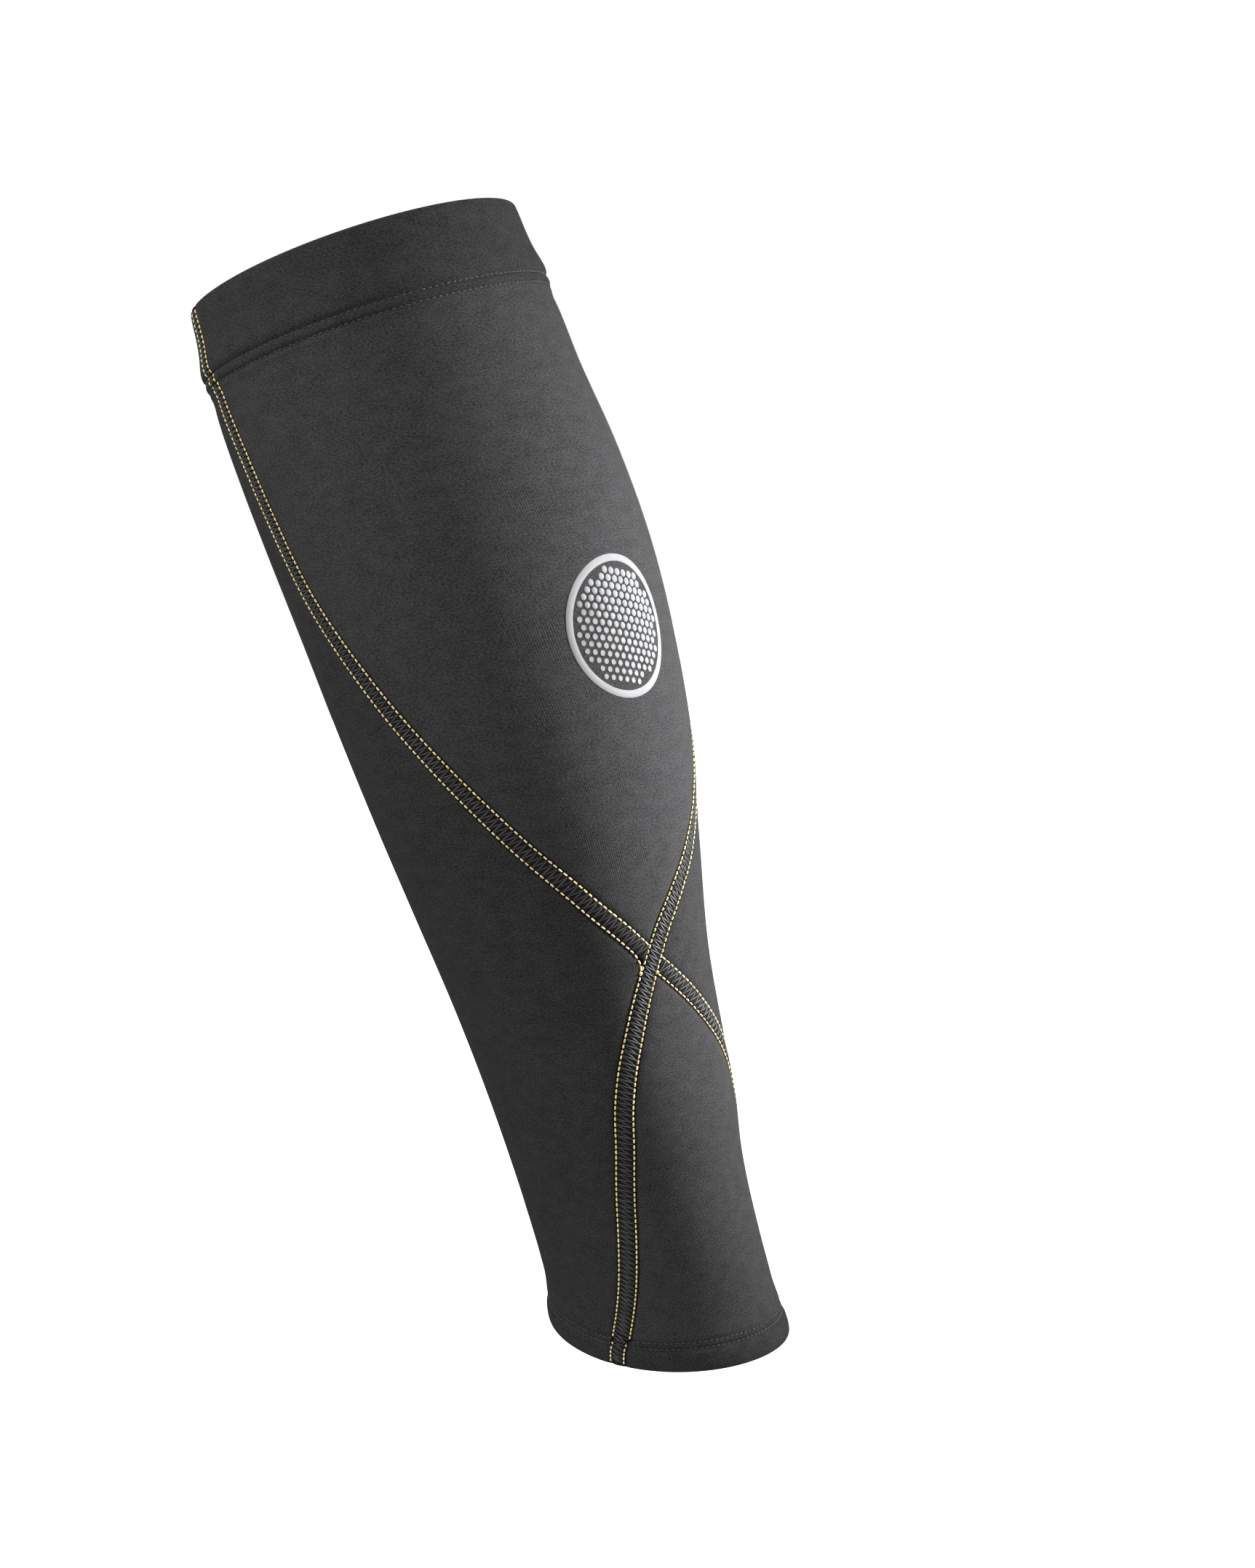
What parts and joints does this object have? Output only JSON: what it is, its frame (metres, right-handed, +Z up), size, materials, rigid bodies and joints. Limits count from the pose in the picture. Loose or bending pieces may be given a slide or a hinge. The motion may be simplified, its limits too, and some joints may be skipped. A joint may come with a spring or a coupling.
{
  "type": "calf compression sleeve",
  "caption": "Footless stretch sleeve for the calf in its worn form, open at both ends, with crossing flat seams, a folded top band and an ankle hem.",
  "frame": {"origin": "centre of the ankle opening, on the axis of the leg", "axes": "+Z up the leg from ankle to knee, -Y towards the side that the picture shows, +X towards the calf side of that view; the middle of the calf lies 34 degrees from -Y towards +X"},
  "size_m": [0.1174, 0.1204, 0.3583],
  "materials": {
    "calf_knit": "dark charcoal knit with a satin sheen",
    "shin_knit": "dark charcoal knit with a satin sheen",
    "achilles_knit": "dark charcoal knit with a satin sheen",
    "folded_edge": "dark charcoal knit, two layers",
    "seam_thread": "golden yellow and black sewing thread",
    "print_film": "light grey reflective film"
  },
  "bodies": {
    "root": {"calf_panel": "calf_knit", "achilles_panel": "achilles_knit", "shin_panel": "shin_knit", "top_band_calf": "folded_edge", "top_band_shin": "folded_edge", "hem_achilles": "folded_edge", "hem_shin": "folded_edge", "flat_seam_inner": "seam_thread", "flat_seam_outer_upper": "seam_thread", "flat_seam_outer_lower": "seam_thread", "reflective_print": "print_film"}
  },
  "joints": []
}
